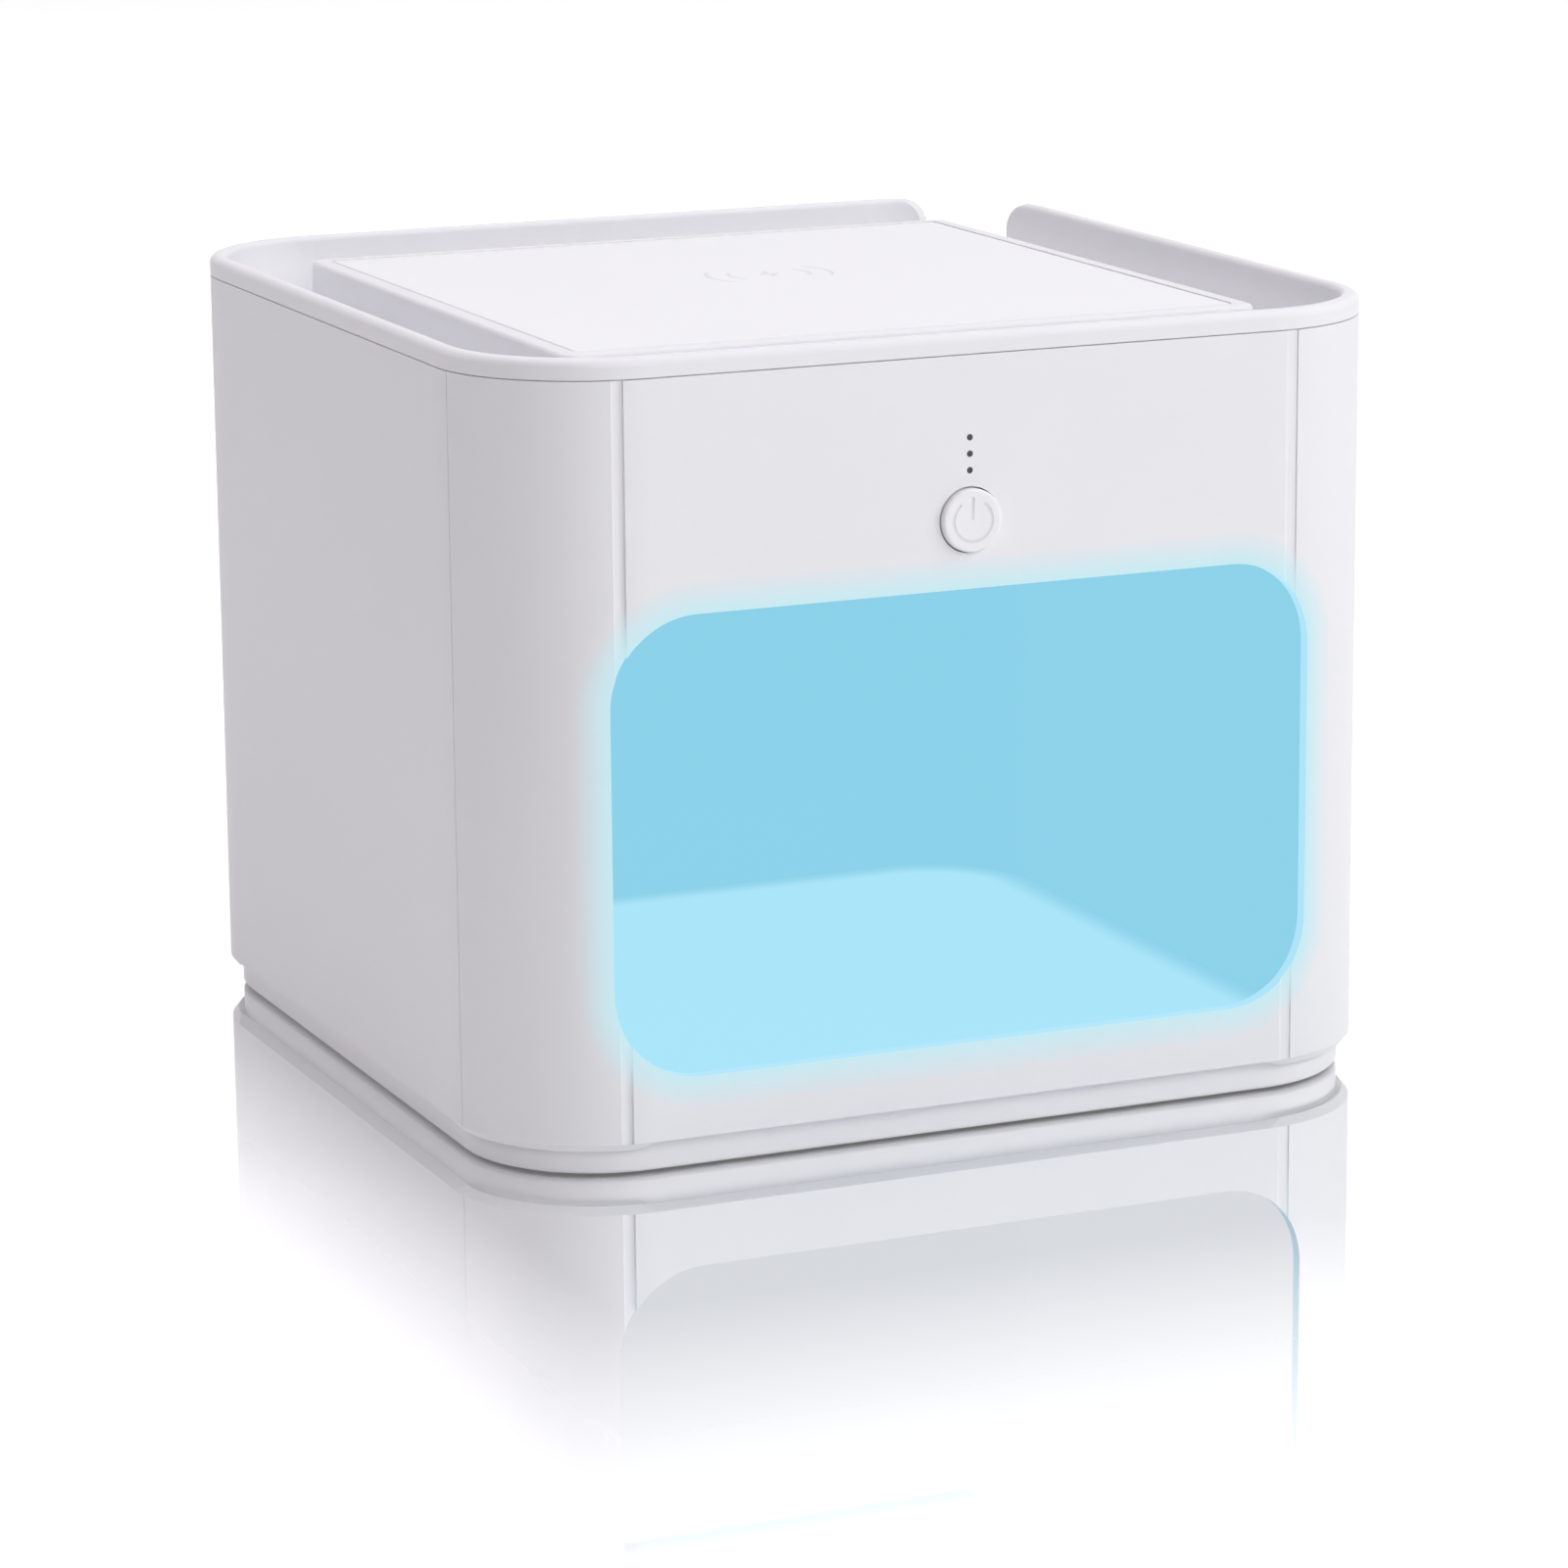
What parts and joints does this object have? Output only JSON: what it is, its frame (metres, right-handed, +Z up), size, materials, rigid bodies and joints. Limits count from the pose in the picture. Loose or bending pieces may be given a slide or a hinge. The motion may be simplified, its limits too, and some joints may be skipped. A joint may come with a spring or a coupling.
{
  "type": "uv sanitizer box for phones",
  "caption": "Counter-top sanitizer box with an open lit chamber for a phone, a round power button, indicator lights and a wireless charging plate in its rimmed top.",
  "frame": {"origin": "middle of the footprint, on the surface that the feet stand on", "axes": "+Z up, +X to the right seen from the front, the open chamber and the button face -Y"},
  "size_m": [0.21, 0.2116, 0.172],
  "materials": {
    "housing": "fine satin texture",
    "plate": "smooth satin",
    "button": "smooth satin",
    "chamber": "smooth, lit",
    "lens": "clear",
    "light_tips": "smooth",
    "lamps": "smooth",
    "feet": "matt",
    "dark_plastic": "matt",
    "board": "solder mask",
    "lamp_board": "brushed",
    "copper": "enamelled winding",
    "steel": "plated",
    "socket_steel": "bright",
    "wire_red": "smooth",
    "wire_black": "smooth",
    "wire_white": "smooth"
  },
  "bodies": {
    "housing": {"base_tray": "housing", "rubber_feet": "feet", "front_left_post": "housing", "front_right_post": "housing", "back_left_post": "housing", "back_right_post": "housing", "front_upper_panel": "housing", "front_lower_panel": "housing", "left_panel": "housing", "right_panel": "housing", "back_panel": "housing", "top_tray": "housing", "charging_plate": "plate", "charging_coil": "copper", "ferrite_sheet": "dark_plastic", "charger_board": "board", "chamber_floor": "chamber", "chamber_liner": "chamber", "lamp_window": "lens", "lamp_board": "lamp_board", "uv_lamps": "lamps", "button_spring": "steel", "switch_body": "dark_plastic", "light_guide": "light_tips", "indicator_leds": "lamps", "control_board": "board", "main_board": "board", "board_parts": "dark_plastic", "power_inlet": "socket_steel", "case_screws": "steel", "board_screws": "steel", "lamp_cable": "wire_red", "charger_cable": "wire_black", "control_cable": "wire_white"},
    "button": {"power_button": "button", "switch_plunger": "dark_plastic"}
  },
  "joints": [
    {"name": "button_press", "type": "slide", "parent": "housing", "child": "button", "axis": [0, 1, 0], "range_m": [0, 0.001], "stiffness_N_per_m": 1500, "deforming": ["button_spring"]}
  ]
}
